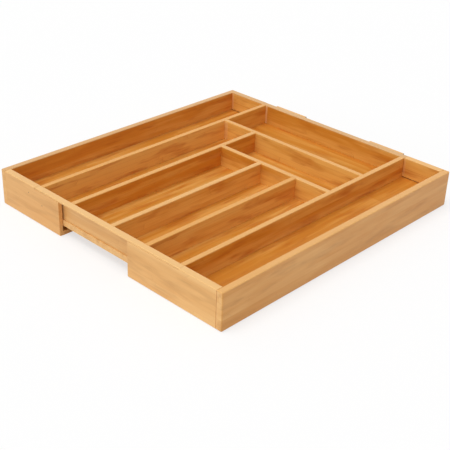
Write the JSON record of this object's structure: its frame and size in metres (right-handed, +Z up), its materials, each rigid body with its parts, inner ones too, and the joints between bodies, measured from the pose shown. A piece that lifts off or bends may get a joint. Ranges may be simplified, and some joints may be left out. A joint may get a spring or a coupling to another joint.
{
  "type": "cutlery tray",
  "caption": "Shallow bamboo drawer organizer with long and cross compartments, whose side trays slide out under the rim to widen it.",
  "frame": {"origin": "under the middle of the closed tray with its rear keepers, on the surface it stands on", "axes": "+X to the right, the way the right side tray pulls out; +Y away from the user, along the long compartments; +Z up"},
  "size_m": [0.418, 0.454, 0.052],
  "materials": {
    "bamboo_panel": "satin lacquered bamboo",
    "bamboo_strip": "satin lacquered bamboo",
    "bamboo_divider": "satin lacquered bamboo",
    "bamboo_wall": "satin lacquered bamboo"
  },
  "bodies": {
    "middle_tray": {"middle_floor": "bamboo_panel", "near_rail": "bamboo_wall", "far_rail": "bamboo_wall", "left_inner_wall": "bamboo_divider", "right_inner_wall": "bamboo_divider", "long_divider_left": "bamboo_divider", "long_divider_middle": "bamboo_divider", "long_divider_right": "bamboo_divider", "cross_divider_front": "bamboo_divider", "cross_divider_rear": "bamboo_divider", "rear_keeper_left": "bamboo_wall", "rear_keeper_right": "bamboo_wall", "stop_cleat_left": "bamboo_strip", "stop_cleat_right": "bamboo_strip"},
    "left_tray": {"left_long_wall": "bamboo_wall", "left_near_wall": "bamboo_wall", "left_far_wall": "bamboo_wall", "left_slide_board": "bamboo_panel", "left_stop_strip": "bamboo_strip"},
    "right_tray": {"right_long_wall": "bamboo_wall", "right_near_wall": "bamboo_wall", "right_far_wall": "bamboo_wall", "right_slide_board": "bamboo_panel", "right_stop_strip": "bamboo_strip"}
  },
  "joints": [
    {"name": "left_tray_slide", "type": "slide", "parent": "middle_tray", "child": "left_tray", "axis": [-1, 0, 0], "range_m": [0, 0.03]},
    {"name": "right_tray_slide", "type": "slide", "parent": "middle_tray", "child": "right_tray", "axis": [1, 0, 0], "range_m": [0, 0.069]}
  ]
}
